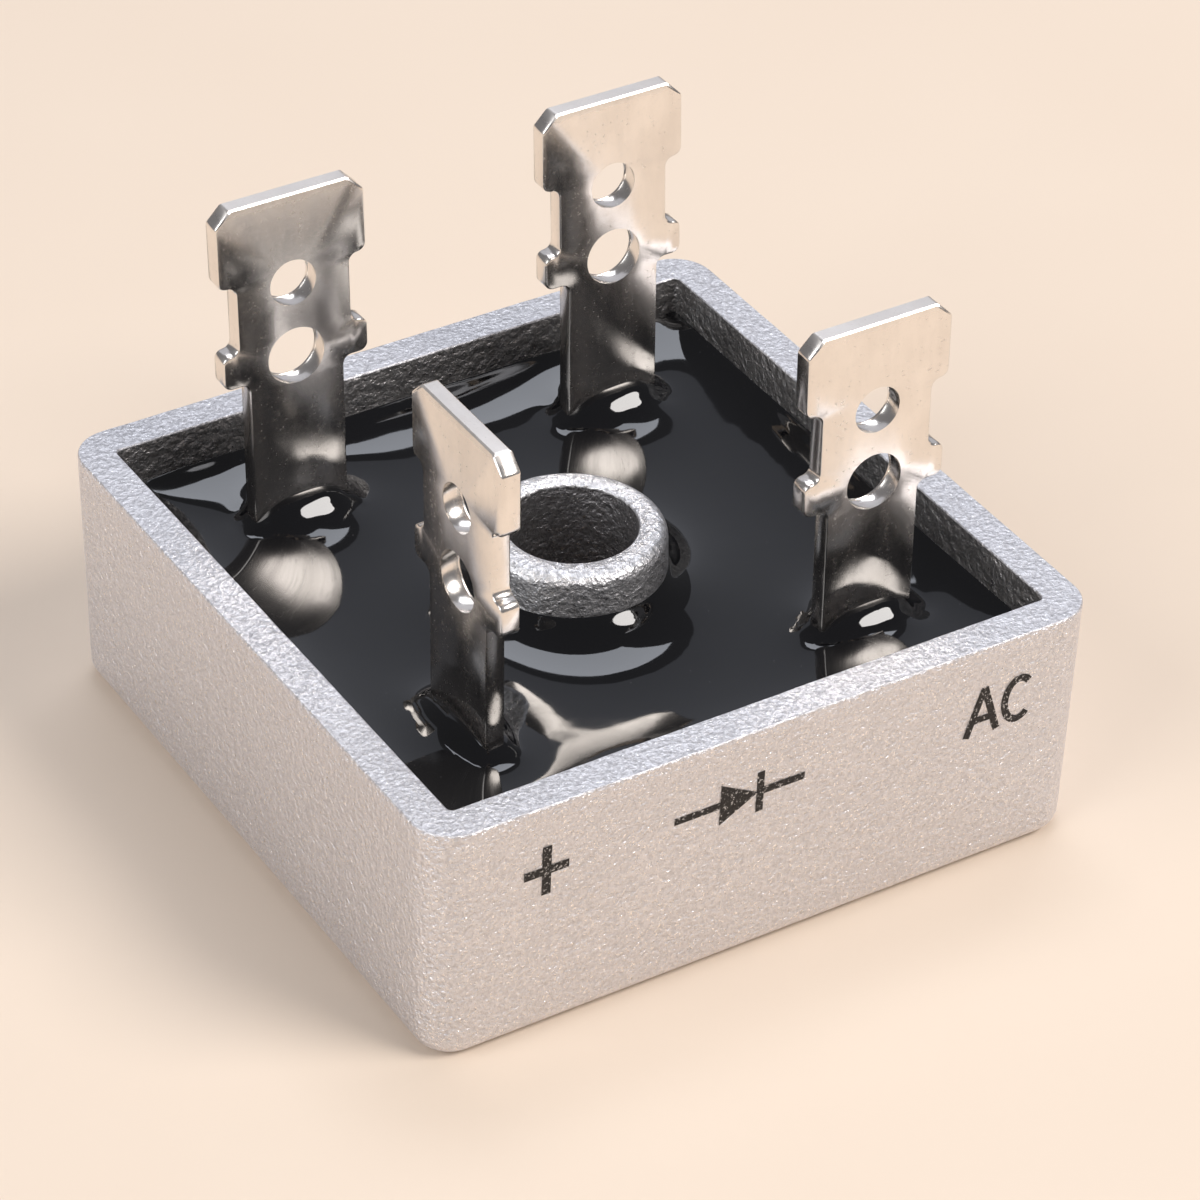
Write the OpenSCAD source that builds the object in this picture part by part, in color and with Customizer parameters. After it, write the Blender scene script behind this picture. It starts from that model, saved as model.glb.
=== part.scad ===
// Potted bridge rectifier in a square die-cast case with four push-on blades.
// Origin at the centre of the base, +Z up, the marked side faces -Y.
// The blades stand at the corners: positive at (-X, -Y), negative at (+X, +Y),
// and the two alternating-current ones at (-X, +Y) and (+X, -Y).

/* [Case] */
// Width across the case at its rim
case_side = 28.6; // [27:0.1:31]
// Height of the case from base to rim
case_h = 10.5; // [9.5:0.1:13]
// How far each outer side draws in from the rim to the base
base_inset = 0.2; // [0.05:0.05:0.3]
// Radius of the upright corners at the rim
case_corner_r = 1.65; // [1.4:0.05:2.4]
// Rounding of the edge round the base
base_edge_r = 0.8; // [0.3:0.05:1]
// Wall thickness at the rim
wall_t = 1.5; // [1:0.1:2]
// How far each inner wall draws in from the rim to the floor
floor_inset = 0.25; // [0.05:0.05:0.4]
// Thickness of the floor
floor_t = 1.6; // [1.2:0.1:2.2]

/* [Boss] */
// Bore for the fixing screw
bore_d = 5.1; // [4.6:0.1:5.6]
// Outer diameter of the boss at its top
boss_d = 7.3; // [6.6:0.1:8]
// How much the boss radius grows down to the floor
boss_foot_w = 0.3; // [0.1:0.05:0.5]
// Rounding of the outer top edge of the boss
boss_edge_r = 0.5; // [0.2:0.05:0.6]

/* [Push-on blades] */
// Width of the blade head
blade_w = 6.3; // [5.6:0.1:7]
// Sheet thickness of the blades
blade_t = 0.8; // [0.5:0.1:1]
// Corner chamfer at the tip
tip_chamfer = 0.64; // [0.3:0.02:1]
// Coined bevel along the tip on both faces
tip_bevel = 0.15; // [0.05:0.05:0.2]
// Length of the head from the tip to the side notches
head_len = 3.3; // [2.8:0.1:3.6]
// Length of the side notches
notch_len = 2.95; // [2.5:0.05:3.3]
// Width left between the side notches
waist_w = 4.85; // [4.3:0.05:5.2]
// Width across the stop ears
ear_w = 6.2; // [5.6:0.1:7]
// Length of the stop ears
ear_len = 1.45; // [1:0.05:1.8]
// Width of the stem below the ears
stem_w = 4.05; // [3.6:0.05:4.4]
// Rounding of the corners along the blade outline
outline_r = 0.3; // [0.15:0.05:0.4]
// Detent hole that a push-on sleeve snaps into
detent_d = 2.1; // [1.6:0.1:2.4]
// Drop of the detent hole below the tip
detent_drop = 3.8; // [3.4:0.1:4.2]
// Hole for a soldered wire
wire_d = 2.55; // [2.2:0.05:2.8]
// Drop of the wire hole below the tip
wire_drop = 7; // [6.7:0.1:7.6]
// Inside radius of the bend into the foot
bend_r = 0.4; // [0.3:0.05:0.6]

/* [Blade places] */
// Positive blade: inset of its centre from the -X side
positive_inset_x = 6.2; // [5.6:0.1:6.6]
// Positive blade: inset of its centre from the -Y side
positive_inset_y = 8.2; // [7.4:0.1:8.6]
// Positive blade: rise of its tip above the rim
positive_rise = 11.2; // [10:0.1:13]
// Negative blade: inset of its centre from the +X side
negative_inset_x = 6.7; // [5.4:0.1:7.2]
// Negative blade: inset of its centre from the +Y side
negative_inset_y = 4.8; // [4.2:0.1:5.4]
// Negative blade: rise of its tip above the rim
negative_rise = 11.5; // [10:0.1:13]
// Left AC blade: inset of its centre from the -X side
ac_left_inset_x = 7.5; // [5.6:0.1:8]
// Left AC blade: inset of its centre from the +Y side
ac_left_inset_y = 5.2; // [4.2:0.1:5.6]
// Left AC blade: rise of its tip above the rim
ac_left_rise = 11.7; // [10:0.1:13]
// Right AC blade: inset of its centre from the +X side
ac_right_inset_x = 6; // [5.4:0.1:7.2]
// Right AC blade: inset of its centre from the -Y side
ac_right_inset_y = 6.8; // [6.2:0.1:7.4]
// Right AC blade: rise of its tip above the rim
ac_right_rise = 10.9; // [10:0.1:13]

/* [Diode stack] */
// Thickness of the insulating plate on the floor
plate_t = 0.5; // [0.3:0.05:0.8]
// Gap between the plate and the case
plate_gap = 0.3; // [0.1:0.05:0.6]
// Thickness of the copper links
link_t = 0.6; // [0.4:0.05:0.8]
// Gap between the links and the case walls
link_wall_gap = 0.95; // [0.6:0.05:1.3]
// Gap between the links and the boss
link_boss_gap = 1.45; // [1:0.05:1.7]
// How far a link reaches past the middle of a side
link_overreach = 3; // [2.6:0.1:3.4]
// Corner rounding of the links
link_r = 0.8; // [0.4:0.1:1.2]
// Side of a square diode die
die_side = 5; // [4:0.1:5.1]
// Thickness of a diode die
die_t = 0.35; // [0.25:0.05:0.5]
// Width of the etched step round the top of a die
die_ledge_w = 0.25; // [0.1:0.05:0.4]
// Depth of the etched step round the top of a die
die_ledge_t = 0.12; // [0.05:0.01:0.15]
// Thickness of every solder layer
solder_t = 0.1; // [0.05:0.01:0.2]
// Margin between a foot and the edge of its link
foot_margin = 0.3; // [0.1:0.05:0.5]

/* [Potting] */
// Drop of the flat resin surface below the rim
pot_drop = 3.05; // [2.6:0.05:3.4]
// Rise of the resin where it wets the walls
wall_rise = 1.4; // [0.8:0.05:1.7]
// How far the resin's slope reaches out from the walls
wall_reach = 2.5; // [1.6:0.1:3]
// Flat width of the resin's edge on the walls
wall_lip = 0.12; // [0.05:0.01:0.2]
// Rise of the resin where it wets the boss
boss_rise = 1.35; // [0.8:0.05:1.7]
// How far the resin's slope reaches out from the boss
boss_reach = 2.4; // [1.6:0.1:2.6]
// Rise of the resin where it wets a blade
blade_rise = 1.2; // [0.6:0.05:1.4]
// How far the resin's slope reaches out from a blade
blade_reach = 2.1; // [1.6:0.1:2.4]

/* [Hidden] */
$fn = 64;
// Overlap that makes joined volumes of one piece merge
lap = 0.2;
// Overshoot of a cutting shape past the surface it cuts
over = 1;
// Dip of a resin slope's arc below the flat surface that it runs out on
slope_dip = 0.03;

// Half widths and levels that the pieces share
case_half = case_side / 2;
cavity_half = case_half - wall_t;
floor_half = cavity_half - floor_inset;
boss_r = boss_d / 2;
boss_foot_r = boss_r + boss_foot_w;
pot_z = case_h - pot_drop;
plate_z = floor_t;
lower_z = plate_z + plate_t;
die_z = lower_z + link_t + solder_t;
upper_z = die_z + die_t + solder_t;

// Arms of the links lie between these distances from the centre lines
link_out = floor_half - link_wall_gap;
link_in = boss_foot_r + link_boss_gap;
arm_mid = (link_out + link_in) / 2;

// Quarter turns that bring the corner at (+X, +Y) to each corner of the case
turn_negative = 0;
turn_ac_left = 90;
turn_positive = 180;
turn_ac_right = 270;

// Quarter turns that bring the side at +X to each side of the case
turn_right = 0;
turn_back = 90;
turn_left = 180;
turn_front = 270;

// Section through a drafted side: r runs outwards from the corner's centre, y upwards
module side_section(corner_r, h, edge_r, draft) {
    lean = atan(draft / h);
    foot = corner_r - draft - edge_r * (1 - sin(lean)) / cos(lean);
    polygon([
        [0, 0],
        [foot, 0],
        [foot + edge_r * cos(lean), edge_r * (1 - sin(lean))],
        [corner_r, h],
        [0, h]
    ]);
    intersection() {
        translate([foot, edge_r]) circle(r = edge_r);
        translate([foot, 0]) square(2 * edge_r);
    }
}

// Square pad with drafted sides, round corners and a rounded edge round its foot
module drafted_pad(half, corner_r, h, edge_r, draft) {
    reach = half - corner_r;
    translate([-reach, -reach, 0]) cube([2 * reach, 2 * reach, h]);
    for (turn = [0:90:270]) rotate(turn) {
        translate([reach, reach, 0]) rotate_extrude(angle = 90) side_section(corner_r, h, edge_r, draft);
        translate([reach, reach, 0]) rotate([90, 0, 0]) linear_extrude(2 * reach)
            side_section(corner_r, h, edge_r, draft);
    }
}

// Square funnel with flat drafted sides between two levels
module square_funnel(half_low, half_high, z_low, z_high) {
    module prism() {
        rotate([90, 0, 0]) linear_extrude(4 * half_high, center = true)
            polygon([[-half_low, z_low], [half_low, z_low], [half_high, z_high], [-half_high, z_high]]);
    }
    intersection() {
        prism();
        rotate(90) prism();
    }
}

// Half width of the cavity at a level
function cavity_at(z) = floor_half + floor_inset * (z - floor_t) / (case_h - floor_t);

// Radius of the boss at a level
function boss_at(z) = boss_r + boss_foot_w * (case_h - z) / (case_h - floor_t);

// Boss without its bore, drawn down to a level
module boss_body(z_low) {
    shoulder_z = case_h - boss_edge_r;
    shoulder_r = boss_at(shoulder_z) - boss_edge_r;
    rotate_extrude() {
        polygon([
            [0, z_low],
            [boss_at(z_low), z_low],
            [boss_at(shoulder_z), shoulder_z],
            [shoulder_r, case_h],
            [0, case_h]
        ]);
        translate([shoulder_r, shoulder_z]) circle(r = boss_edge_r);
    }
}

module case_shell() {
    color([0.72, 0.70, 0.67]) difference() {
        union() {
            difference() {
                drafted_pad(case_half, case_corner_r, case_h, base_edge_r, base_inset);
                square_funnel(floor_half, cavity_at(case_h + over), floor_t, case_h + over);
            }
            boss_body(floor_t - lap);
        }
        translate([0, 0, -over]) cylinder(d = bore_d, h = case_h + 2 * over);
    }
}

module insulating_plate() {
    color([0.90, 0.89, 0.84]) translate([0, 0, plate_z]) difference() {
        translate([-floor_half + plate_gap, -floor_half + plate_gap, 0])
            cube([2 * (floor_half - plate_gap), 2 * (floor_half - plate_gap), plate_t]);
        translate([0, 0, -over]) cylinder(r = boss_foot_r + plate_gap, h = plate_t + 2 * over);
    }
}

// Square with rounded corners, from one corner point to the opposite one
module rounded_plan(low, high, r) {
    translate([low[0] + r, low[1]]) square([high[0] - low[0] - 2 * r, high[1] - low[1]]);
    translate([low[0], low[1] + r]) square([high[0] - low[0], high[1] - low[1] - 2 * r]);
    for (x = [low[0] + r, high[0] - r], y = [low[1] + r, high[1] - r]) translate([x, y]) circle(r = r);
}

// L-shaped copper link that turns the corner at (+X, +Y) round the boss
module link(turn, z) {
    color([0.78, 0.48, 0.33]) rotate(turn) translate([0, 0, z]) linear_extrude(link_t) {
        rounded_plan([link_in, -link_overreach], [link_out, link_out], link_r);
        rounded_plan([-link_overreach, link_in], [link_out, link_out], link_r);
    }
}

// Diode die with its etched step, on the side at +X
module die(turn) {
    step_side = die_side - 2 * die_ledge_w;
    color([0.30, 0.31, 0.34]) rotate(turn) translate([arm_mid, 0, die_z]) {
        translate([-die_side / 2, -die_side / 2, 0]) cube([die_side, die_side, die_t - die_ledge_t]);
        translate([-step_side / 2, -step_side / 2, 0]) cube([step_side, step_side, die_t]);
    }
}

// Solder layer under or over a die
module die_solder(turn, z, side) {
    color([0.75, 0.76, 0.78]) rotate(turn) translate([arm_mid - side / 2, -side / 2, z])
        cube([side, side, solder_t]);
}

module lower_solder(turn) {
    die_solder(turn, lower_z + link_t, die_side);
}

module upper_solder(turn) {
    die_solder(turn, die_z + die_t, die_side - 2 * die_ledge_w);
}

// Concave rounding that fills a corner between two edges
module cove(r) {
    difference() {
        square(r);
        translate([r, r]) circle(r = r);
    }
}

// Outline of a blade, with its tip at the origin, down to the start of the bend
module blade_outline(bend_drop) {
    notch_z = -head_len - notch_len;
    ear_z = notch_z - ear_len;
    difference() {
        union() {
            // head with chamfered tip corners and rounded lower corners
            polygon([
                [-blade_w / 2 + tip_chamfer, 0],
                [blade_w / 2 - tip_chamfer, 0],
                [blade_w / 2, -tip_chamfer],
                [blade_w / 2, outline_r - head_len],
                [blade_w / 2 - outline_r, -head_len],
                [outline_r - blade_w / 2, -head_len],
                [-blade_w / 2, outline_r - head_len],
                [-blade_w / 2, -tip_chamfer]
            ]);
            for (side = [-1, 1]) translate([side * (blade_w / 2 - outline_r), outline_r - head_len])
                circle(r = outline_r);
            translate([-waist_w / 2, notch_z - lap]) square([waist_w, notch_len + 2 * lap]);
            rounded_plan([-ear_w / 2, ear_z], [ear_w / 2, notch_z], outline_r);
            translate([-stem_w / 2, -bend_drop]) square([stem_w, bend_drop + ear_z + lap]);
            for (side = [0, 1]) mirror([side, 0]) {
                translate([waist_w / 2, -head_len]) mirror([0, 1]) cove(outline_r);
                translate([waist_w / 2, notch_z]) cove(outline_r);
                translate([stem_w / 2, ear_z]) mirror([0, 1]) cove(outline_r);
            }
        }
        translate([0, -detent_drop]) circle(d = detent_d);
        translate([0, -wire_drop]) circle(d = wire_d);
    }
}

// Section across the sheet at the tip, coined on both faces
module tip_section(drop) {
    polygon([
        [-blade_t / 2, -drop],
        [-blade_t / 2, -tip_bevel],
        [tip_bevel - blade_t / 2, 0],
        [blade_t / 2 - tip_bevel, 0],
        [blade_t / 2, -tip_bevel],
        [blade_t / 2, -drop]
    ]);
}

// Blade, bend and foot in one piece: its width along X, its foot reaching out towards +Y
module terminal_body(rise, foot_z, foot_end) {
    tip_z = case_h + rise;
    bend_drop = tip_z - foot_z - blade_t - bend_r;
    bend_y = blade_t / 2 + bend_r;
    color([0.80, 0.77, 0.72]) translate([0, 0, tip_z]) {
        intersection() {
            rotate([90, 0, 0]) linear_extrude(2 * blade_t, center = true) blade_outline(bend_drop);
            rotate([90, 0, 90]) linear_extrude(2 * blade_w, center = true) tip_section(bend_drop);
        }
        translate([-stem_w / 2, bend_y, -bend_drop]) rotate([0, 90, 0]) rotate_extrude(angle = -90)
            translate([bend_r, 0]) square([blade_t, stem_w]);
        translate([-stem_w / 2, bend_y, -bend_drop - bend_r - blade_t])
            cube([stem_w, foot_end - bend_y, blade_t]);
    }
}

// Solder layer between a foot and its link
module foot_solder_body(foot_z, foot_end) {
    bend_y = blade_t / 2 + bend_r;
    color([0.75, 0.76, 0.78]) translate([-stem_w / 2, bend_y, foot_z - solder_t])
        cube([stem_w, foot_end - bend_y, solder_t]);
}

// Places of the four blades; a foot reaches out to the wall or in to the boss
module place_positive() {
    translate([positive_inset_x - case_half, positive_inset_y - case_half, 0]) rotate(90) children();
}

module place_negative() {
    translate([case_half - negative_inset_x, case_half - negative_inset_y, 0]) rotate(180) children();
}

module place_ac_left() {
    translate([ac_left_inset_x - case_half, case_half - ac_left_inset_y, 0]) rotate(180) children();
}

module place_ac_right() {
    translate([case_half - ac_right_inset_x, ac_right_inset_y - case_half, 0]) rotate(180) children();
}

// Level of the feet on the lower and on the upper links
low_foot_z = lower_z + link_t + solder_t;
high_foot_z = upper_z + link_t + solder_t;

// Reach of each foot from its blade's centre plane
positive_foot = link_out - foot_margin - (case_half - positive_inset_x);
negative_foot = case_half - negative_inset_y - link_in - foot_margin;
ac_left_foot = case_half - ac_left_inset_y - link_in - foot_margin;
ac_right_foot = link_out - foot_margin - (case_half - ac_right_inset_y);

module terminal_positive() {
    place_positive() terminal_body(positive_rise, low_foot_z, positive_foot);
}

module terminal_negative() {
    place_negative() terminal_body(negative_rise, low_foot_z, negative_foot);
}

module terminal_ac_left() {
    place_ac_left() terminal_body(ac_left_rise, high_foot_z, ac_left_foot);
}

module terminal_ac_right() {
    place_ac_right() terminal_body(ac_right_rise, high_foot_z, ac_right_foot);
}

module solder_positive() {
    place_positive() foot_solder_body(low_foot_z, positive_foot);
}

module solder_negative() {
    place_negative() foot_solder_body(low_foot_z, negative_foot);
}

module solder_ac_left() {
    place_ac_left() foot_solder_body(high_foot_z, ac_left_foot);
}

module solder_ac_right() {
    place_ac_right() foot_solder_body(high_foot_z, ac_right_foot);
}

// Everything that the resin closes round
module buried_pieces() {
    insulating_plate();
    link(turn_positive, lower_z);
    link(turn_negative, lower_z);
    link(turn_ac_left, upper_z);
    link(turn_ac_right, upper_z);
    for (turn = [turn_right, turn_back, turn_left, turn_front]) {
        die(turn);
        lower_solder(turn);
        upper_solder(turn);
    }
    solder_positive();
    solder_negative();
    solder_ac_left();
    solder_ac_right();
    terminal_positive();
    terminal_negative();
    terminal_ac_left();
    terminal_ac_right();
}

// Radius of the hollow slope that climbs a rise within a reach
function slope_r(reach, rise) = (pow(reach, 2) + pow(rise + slope_dip, 2)) / (rise + slope_dip) / 2;

// Section through resin that climbs an upright surface, from its level at the origin
module slope_section(inner, reach, rise) {
    round_r = slope_r(reach, rise);
    difference() {
        translate([0, -lap]) square([inner + reach, lap + rise]);
        translate([inner + reach, round_r - slope_dip]) circle(r = round_r);
    }
}

// Resin that climbs the boss
module boss_slope() {
    translate([0, 0, pot_z]) rotate_extrude()
        slope_section(boss_at(pot_z + boss_rise), boss_reach, boss_rise);
}

// Resin that climbs both faces and both edges of a blade's stem
module blade_slope() {
    straight = stem_w - blade_t;
    module section() {
        slope_section(blade_t / 2, blade_reach, blade_rise);
    }
    translate([0, 0, pot_z]) for (turn = [0, 180]) rotate(turn) {
        translate([-straight / 2, 0, 0]) rotate([90, 0, 90]) linear_extrude(straight) section();
        translate([straight / 2, 0, 0]) rotate(-90) rotate_extrude(angle = 180) section();
    }
}

// Hollow over the resin, seen along one pair of walls
module pool_prism(half) {
    round_r = slope_r(wall_reach, wall_rise);
    rotate([90, 0, 0]) linear_extrude(4 * half, center = true) {
        translate([wall_reach - half, pot_z]) square([2 * (half - wall_reach), wall_rise + over]);
        translate([-half, pot_z + wall_rise]) square([2 * half, over]);
        for (side = [0, 1]) mirror([side, 0]) intersection() {
            translate([half - wall_reach, pot_z + round_r - slope_dip]) circle(r = round_r);
            translate([half - wall_reach, pot_z]) square([wall_reach, wall_rise]);
        }
    }
}

module potting() {
    top_z = pot_z + wall_rise;
    pool_half = cavity_at(top_z) - wall_lip;
    color([0.10, 0.10, 0.11]) difference() {
        union() {
            difference() {
                square_funnel(floor_half, cavity_at(top_z), floor_t, top_z);
                intersection() {
                    pool_prism(pool_half);
                    rotate(90) pool_prism(pool_half);
                }
            }
            boss_slope();
            place_positive() blade_slope();
            place_negative() blade_slope();
            place_ac_left() blade_slope();
            place_ac_right() blade_slope();
        }
        boss_body(floor_t);
        translate([0, 0, floor_t - over]) cylinder(r = boss_foot_r, h = over);
        buried_pieces();
    }
}

case_shell();  // case
insulating_plate();
link(turn_positive, lower_z);  // link_positive
link(turn_negative, lower_z);  // link_negative
link(turn_ac_left, upper_z);  // link_ac_left
link(turn_ac_right, upper_z);  // link_ac_right
die(turn_left);  // diode_left
die(turn_front);  // diode_front
die(turn_right);  // diode_right
die(turn_back);  // diode_back
lower_solder(turn_left);  // solder_left_lower
lower_solder(turn_front);  // solder_front_lower
lower_solder(turn_right);  // solder_right_lower
lower_solder(turn_back);  // solder_back_lower
upper_solder(turn_left);  // solder_left_upper
upper_solder(turn_front);  // solder_front_upper
upper_solder(turn_right);  // solder_right_upper
upper_solder(turn_back);  // solder_back_upper
solder_positive();
solder_negative();
solder_ac_left();
solder_ac_right();
terminal_positive();
terminal_negative();
terminal_ac_left();
terminal_ac_right();
potting();
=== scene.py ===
import math
import bmesh
import bpy
import numpy as np
from mathutils import Matrix, Vector, noise


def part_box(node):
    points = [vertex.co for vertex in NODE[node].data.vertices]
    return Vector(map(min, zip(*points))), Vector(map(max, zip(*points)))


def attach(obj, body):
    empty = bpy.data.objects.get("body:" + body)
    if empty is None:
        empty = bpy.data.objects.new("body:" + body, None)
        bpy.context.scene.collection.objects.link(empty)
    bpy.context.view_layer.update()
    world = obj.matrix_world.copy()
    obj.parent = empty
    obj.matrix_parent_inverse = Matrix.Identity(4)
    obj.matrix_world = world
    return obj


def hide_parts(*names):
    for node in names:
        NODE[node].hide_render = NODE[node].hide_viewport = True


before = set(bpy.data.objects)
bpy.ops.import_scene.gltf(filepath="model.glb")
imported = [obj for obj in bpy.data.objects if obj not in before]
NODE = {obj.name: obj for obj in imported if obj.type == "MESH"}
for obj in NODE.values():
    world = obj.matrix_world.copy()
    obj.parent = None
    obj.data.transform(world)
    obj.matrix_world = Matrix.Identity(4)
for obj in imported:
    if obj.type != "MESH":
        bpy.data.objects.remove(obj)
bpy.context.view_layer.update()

MM = 0.001


# ---------------------------------------------------------------- camera, floor and lamps

def place_camera():
    """A long lens, looking down on the corner with the positive blade."""
    turn, rise, roll = math.radians(-32.646), math.radians(36.059), math.radians(1.804)
    aim = Vector((0.183, -1.847, 8.0)) * MM
    distance = 184.44 * MM
    back = Vector((math.sin(turn) * math.cos(rise), -math.cos(turn) * math.cos(rise), math.sin(rise)))
    right = (-back).cross(Vector((0, 0, 1))).normalized()
    up = right.cross(-back)
    across = right * math.cos(roll) + up * math.sin(roll)
    upright = up * math.cos(roll) - right * math.sin(roll)
    lens = bpy.data.cameras.new("camera")
    lens.lens = 145.92
    lens.sensor_width = 36
    lens.clip_start = 0.01
    camera = bpy.data.objects.new("camera", lens)
    place = Matrix((across, upright, back)).transposed().to_4x4()
    place.translation = aim + back * distance
    camera.matrix_world = place
    bpy.context.scene.collection.objects.link(camera)
    bpy.context.scene.camera = camera


def soft_box(name, direction, distance, width, height, glow, tint, oval=False):
    """A rectangular or oval lamp that faces the object. Its glow is the brightness of its face."""
    lamp = bpy.data.lights.new(name, "AREA")
    lamp.shape = "ELLIPSE" if oval else "RECTANGLE"
    lamp.size = width
    lamp.size_y = height
    lamp.energy = glow * (math.pi if oval else 4) * width * height
    lamp.color = tint
    box = bpy.data.objects.new(name, lamp)
    away = Vector(direction).normalized()
    place = away.to_track_quat("Z", "Y").to_matrix().to_4x4()
    place.translation = away * distance + Vector((0, 0, 0.01))
    box.matrix_world = place
    bpy.context.scene.collection.objects.link(box)


def light_the_table():
    """A soft box overhead, an oval one in front on the right, cards left and behind, and a dim room."""
    soft_box("overhead_box", (0.228, 0.356, 0.906), 0.9, 0.50, 0.32, 3.7, (0.87, 0.91, 1.0))
    soft_box("front_box", (0.447, -0.532, 0.719), 0.7, 0.40, 0.25, 12.0, (1.0, 0.965, 0.94), oval=True)
    soft_box("left_card", (-0.80, -0.10, 0.50), 0.8, 0.60, 0.50, 2.9, (0.95, 0.97, 1.0))
    soft_box("back_card", (0.38, 0.70, 0.50), 1.0, 1.30, 0.62, 0.32, (0.84, 0.88, 1.0))
    world = bpy.data.worlds.new("room")
    world.use_nodes = True
    shade = world.node_tree.nodes["Background"]
    shade.inputs["Color"].default_value = (0.18, 0.18, 0.19, 1)
    shade.inputs["Strength"].default_value = 1.0
    bpy.context.scene.world = world
    bpy.context.scene.view_settings.view_transform = "Standard"


# ---------------------------------------------------------------- shader and rule helpers

class Shade:
    """Builds one finish. Lengths are given in millimetres and patterns read Object coordinates."""

    def __init__(self, name):
        self.material = bpy.data.materials.new(name)
        self.material.use_nodes = True
        self.tree = self.material.node_tree
        self.tree.nodes.clear()
        self.out = self.add("ShaderNodeOutputMaterial")
        self.body = self.add("ShaderNodeBsdfPrincipled")
        self.link(self.body.outputs[0], self.out.inputs[0])
        self.place = self.add("ShaderNodeTexCoord").outputs["Object"]

    def add(self, kind, **settings):
        node = self.tree.nodes.new(kind)
        for key, value in settings.items():
            setattr(node, key, value)
        return node

    def link(self, start, end):
        self.tree.links.new(start, end)

    def feed(self, socket, value):
        if isinstance(value, bpy.types.NodeSocket):
            self.link(value, socket)
        else:
            socket.default_value = value

    def stretched(self, scale, source=None):
        """Coordinates stretched by a factor along each axis."""
        node = self.add("ShaderNodeMapping")
        self.link(source or self.place, node.inputs["Vector"])
        node.inputs["Scale"].default_value = scale
        return node.outputs[0]

    def sheet(self, name):
        """Coordinates kept on the mesh, such as the place on a flat blank."""
        return self.add("ShaderNodeAttribute", attribute_name=name).outputs["Vector"]

    def grain(self, size, detail=2.0, rough=0.5, source=None, warp=0.0):
        """Cloudy pattern with patches of about the given size."""
        node = self.add("ShaderNodeTexNoise")
        self.link(source or self.place, node.inputs["Vector"])
        node.inputs["Scale"].default_value = 1 / (size * MM)
        node.inputs["Detail"].default_value = detail
        node.inputs["Roughness"].default_value = rough
        node.inputs["Distortion"].default_value = warp
        return node.outputs[0]

    def cells(self, size):
        """Distance from the middle of cells of about the given size."""
        node = self.add("ShaderNodeTexVoronoi")
        self.link(self.place, node.inputs["Vector"])
        node.inputs["Scale"].default_value = 1 / (size * MM)
        return node.outputs["Distance"]

    def between(self, value, low, high, to_low=0.0, to_high=1.0):
        """Value spread from one range to another and kept inside it."""
        node = self.add("ShaderNodeMapRange")
        self.feed(node.inputs["Value"], value)
        node.inputs["From Min"].default_value = low
        node.inputs["From Max"].default_value = high
        node.inputs["To Min"].default_value = to_low
        node.inputs["To Max"].default_value = to_high
        return node.outputs[0]

    def sum(self, kind, first, second):
        node = self.add("ShaderNodeMath", operation=kind)
        self.feed(node.inputs[0], first)
        self.feed(node.inputs[1], second)
        return node.outputs[0]

    def blend(self, share, first, second):
        """First colour where the share is 0, second where it is 1."""
        node = self.add("ShaderNodeMix", data_type="RGBA")
        self.feed(node.inputs["Factor"], share)
        for socket, value in ((node.inputs[6], first), (node.inputs[7], second)):
            self.feed(socket, value if isinstance(value, bpy.types.NodeSocket) else (*value, 1))
        return node.outputs[2]

    def bump(self, height, depth, strength=1.0, under=None):
        """Relief whose full height is the given depth in millimetres."""
        node = self.add("ShaderNodeBump")
        self.link(height, node.inputs["Height"])
        node.inputs["Distance"].default_value = depth * MM
        node.inputs["Strength"].default_value = strength
        if under is not None:
            self.link(under, node.inputs["Normal"])
        return node.outputs[0]

    def set(self, **values):
        for key, value in values.items():
            self.feed(self.body.inputs[key.replace("_", " ")], value)


class Size:
    """A number inside a geometry rule, joined to others with plain arithmetic."""

    def __init__(self, tree, socket):
        self.tree = tree
        self.socket = socket

    def sum(self, kind, other=None, swap=False):
        node = self.tree.nodes.new("ShaderNodeMath")
        node.operation = kind
        for slot, value in zip(node.inputs, (other, self) if swap else (self, other)):
            if isinstance(value, Size):
                self.tree.links.new(value.socket, slot)
            elif value is not None:
                slot.default_value = value
        return Size(self.tree, node.outputs[0])

    def __add__(self, other):
        return self.sum("ADD", other)

    def __sub__(self, other):
        return self.sum("SUBTRACT", other)

    def __rsub__(self, other):
        return self.sum("SUBTRACT", other, True)

    def __mul__(self, other):
        return self.sum("MULTIPLY", other)

    def __truediv__(self, other):
        return self.sum("DIVIDE", other)

    def __neg__(self):
        return self.sum("MULTIPLY", -1.0)


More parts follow.
